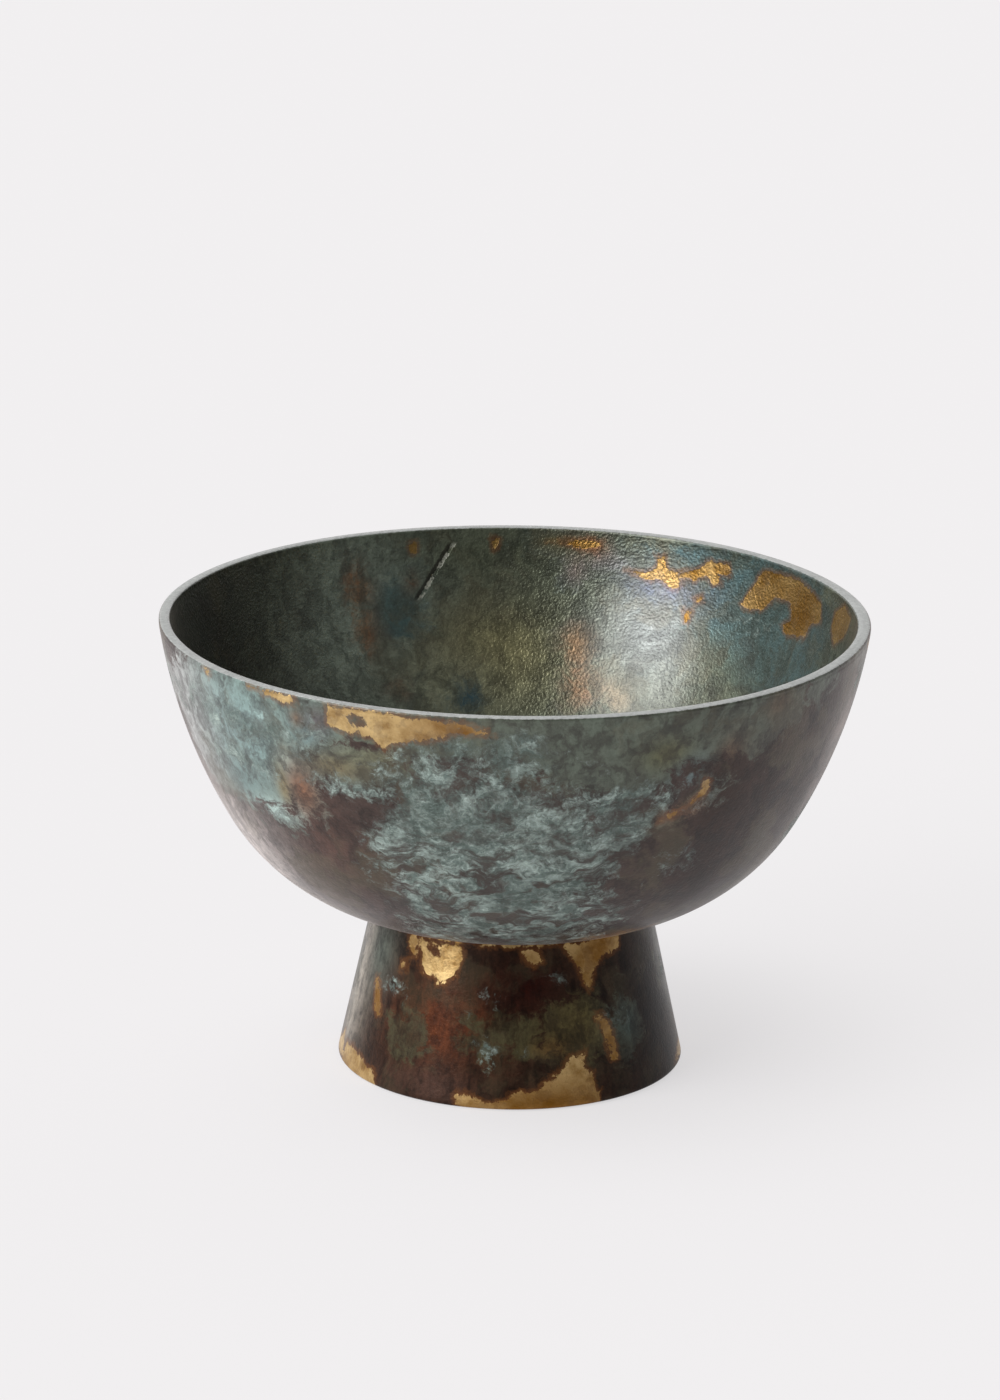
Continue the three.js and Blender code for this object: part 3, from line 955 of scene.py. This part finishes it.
section = softened(
    [
        (spring_inner, spring_bottom),
        (spring_outer, spring_bottom),
        (spring_outer, spring_top),
        (spring_inner, spring_top),
    ],
    [0.3] * 4,
    4,
)[::-1]
middle_height = (spring_bottom + spring_top) / 2
sweep = np.linspace(0, 1, 121)[:, None]
half_slit = np.degrees((slit / 2) / section[:, 0])
lean_turn = np.degrees((section[:, 1] - middle_height) * math.tan(math.radians(slant)) / section[:, 0])
coil_turn = slit_turn + lean_turn + half_slit + sweep * (360 - 2 * half_slit)
ones = np.ones_like(coil_turn)
spring = skinned("split_spring_washer", placed(coil_turn, section[:, 0] * ones, section[:, 1] * ones))
fitted(spring, "spring_washer", zinc_plate)


# Nut
# A plated hexagon nut, 13 mm across its flats, with the corners of both faces turned off at 30 degrees.
# It is tightened from below and pulls the bowl down on the foot.
nut_bottom, nut_top, across_flats = 37.4, 43.9, 13.0
nut_bore, nut_mouth, mouth_depth = 4.15, 4.6, 0.45
nut_face, corner_depth, corner_angle = 6.2, 0.8, 30.0

side_heights = np.concatenate(
    [
        np.linspace(nut_bottom, nut_bottom + corner_depth, 9),
        np.linspace(nut_top - corner_depth, nut_top, 9),
    ]
)
nut_line = np.concatenate(
    [
        [(nut_bore, nut_top - mouth_depth), (nut_bore, nut_bottom + mouth_depth), (nut_mouth, nut_bottom)],
        np.stack([np.full(len(side_heights), across_flats), side_heights], axis=1),
        [(nut_mouth, nut_top)],
    ]
)
turn_at, radius_at, height_at = turned(nut_line, 144)
flat = across_flats / 2 / np.cos(np.radians((turn_at - 60) % 60 - 30))
from_face = np.minimum(height_at - nut_bottom, nut_top - height_at)
hexagon = np.minimum(flat, nut_face + from_face / math.tan(math.radians(corner_angle)))
nut_radius = np.where(radius_at > nut_face, hexagon, radius_at)
nut = skinned("hexagon_nut", placed(turn_at, nut_radius, height_at), loop=True, sharp=25)
fitted(nut, "hex_nut", zinc_plate)


# Felt pads
# Four punched discs of dark wool felt, glued into the pockets in the standing ring, a little proud of it.
# Their edges are soft and their faces slightly crowned.
pad_radius, pad_thick, pad_ripple = 4.0, 2.0, 0.06
pad_edge, pad_crown, pad_eye = 0.25, 0.4, 0.3

felt, here, place = new_finish("pressed wool felt")
fibre = place.stretched(1, 1.6, 1).ridges(900, 4, 0.6, 1.5)
tuft = place.noise(500, 4, 0.7)
surfaced(
    here,
    Base_Color=(fibre * 0.3 + tuft * 0.6).rise(0.3, 1.0).shade((36, 33, 29), (74, 69, 61)),
    Roughness=1.0,
    Sheen_Weight=0.3,
    Normal=here.node("Bump", {}, {"Strength": 0.6, "Distance": 0.0003, "Height": fibre + tuft}),
)
rising = np.linspace(-np.pi / 2, np.pi / 2, 25)
pad_line = np.stack(
    [
        pad_radius * np.cos(rising) ** pad_edge,
        pad_thick / 2 * (1 + np.sign(np.sin(rising)) * np.abs(np.sin(rising)) ** pad_crown),
    ],
    axis=1,
)
pad_line[[0, -1], 0] = pad_eye
turn_at, radius_at, height_at = turned(pad_line, 64)
for number, turn in enumerate(pad_turns, 1):
    ripple = pad_ripple * np.cos(np.radians(5 * turn_at) + number) * (radius_at / pad_radius) ** 2
    pad_points = placed(turn_at, radius_at - pad_ripple + ripple, height_at)
    pad = skinned(f"felt_disc_{number}", pad_points + placed(turn, pad_circle, 0.0))
    fitted(pad, f"felt_pad_{number}", felt)


# Floor and light
# A plain pale floor, two broad lamps in front and to the left, and a room that is lighter behind the bowl.
# Part of the floor's paleness is its own, as seen, so that the shadow on it stays light. That part grows
# away from the foot.
floor_reach, glow_near, glow_far = 10.0, 0.7, 0.9
floor_mesh = bpy.data.meshes.new("floor")
floor_corners = [(-1, -1, 0), (1, -1, 0), (1, 1, 0), (-1, 1, 0)]
floor_mesh.from_pydata((np.array(floor_corners) * floor_reach).tolist(), [], [(0, 1, 2, 3)])
pale = (*tint(240, 238, 239), 1.0)
floor_finish, here, place = new_finish("pale floor")
straight, mirrored, through = [
    here.node("LightPath", {}, {}, f"Is {ray} Ray") for ray in ["Camera", "Glossy", "Transmission"]
]
seen = straight + mirrored + through
matt = here.node("BsdfDiffuse", {}, {"Color": pale})
glow = here.node("Emission", {}, {"Color": pale, "Strength": 1.0})
away = here.node("VectorMath", {"operation": "LENGTH"}, {0: place}, "Value").rise(0.06, 0.18)
glowing = away * (glow_far - glow_near) + glow_near
floor_skin = here.node("MixShader", {}, {0: seen * glowing, 1: matt, 2: glow})
here.node("OutputMaterial", {}, {"Surface": floor_skin}, None)
floor_mesh.materials.append(floor_finish)
floor = bpy.data.objects.new("floor", floor_mesh)
bpy.context.scene.collection.objects.link(floor)

# A lamp has a strength, a spread, a turn to the left of the front and a height above level, in degrees.
lamps = [
    ("low lamp", 2.4, 40, 52, 26),
    ("high lamp", 0.9, 45, 75, 52),
]
for name, energy, spread, from_left, above in lamps:
    lamp = bpy.data.objects.new(name, bpy.data.lights.new(name, "SUN"))
    lamp.data.energy, lamp.data.angle = energy, math.radians(spread)
    toward = Vector(placed(-from_left, 1.0, math.tan(math.radians(above))))
    lamp.rotation_euler = toward.to_track_quat("Z", "Y").to_euler()
    bpy.context.scene.collection.objects.link(lamp)

lighter_side, room_dark, room_gain = (-0.35, 0.94, 0.0), 0.16, 0.8
world = bpy.data.worlds.new("studio")
world.use_nodes = True
here = Socket(world.node_tree)
behind = here.node("TexCoord", {}, {}, "Generated").along(lighter_side)
room = behind.rise(-0.7, 0.7) * room_gain + room_dark
here.tree.links.new(room.output, here.tree.nodes["Background"].inputs["Color"])
bpy.context.scene.world = world
bpy.context.scene.view_settings.view_transform = "Standard"
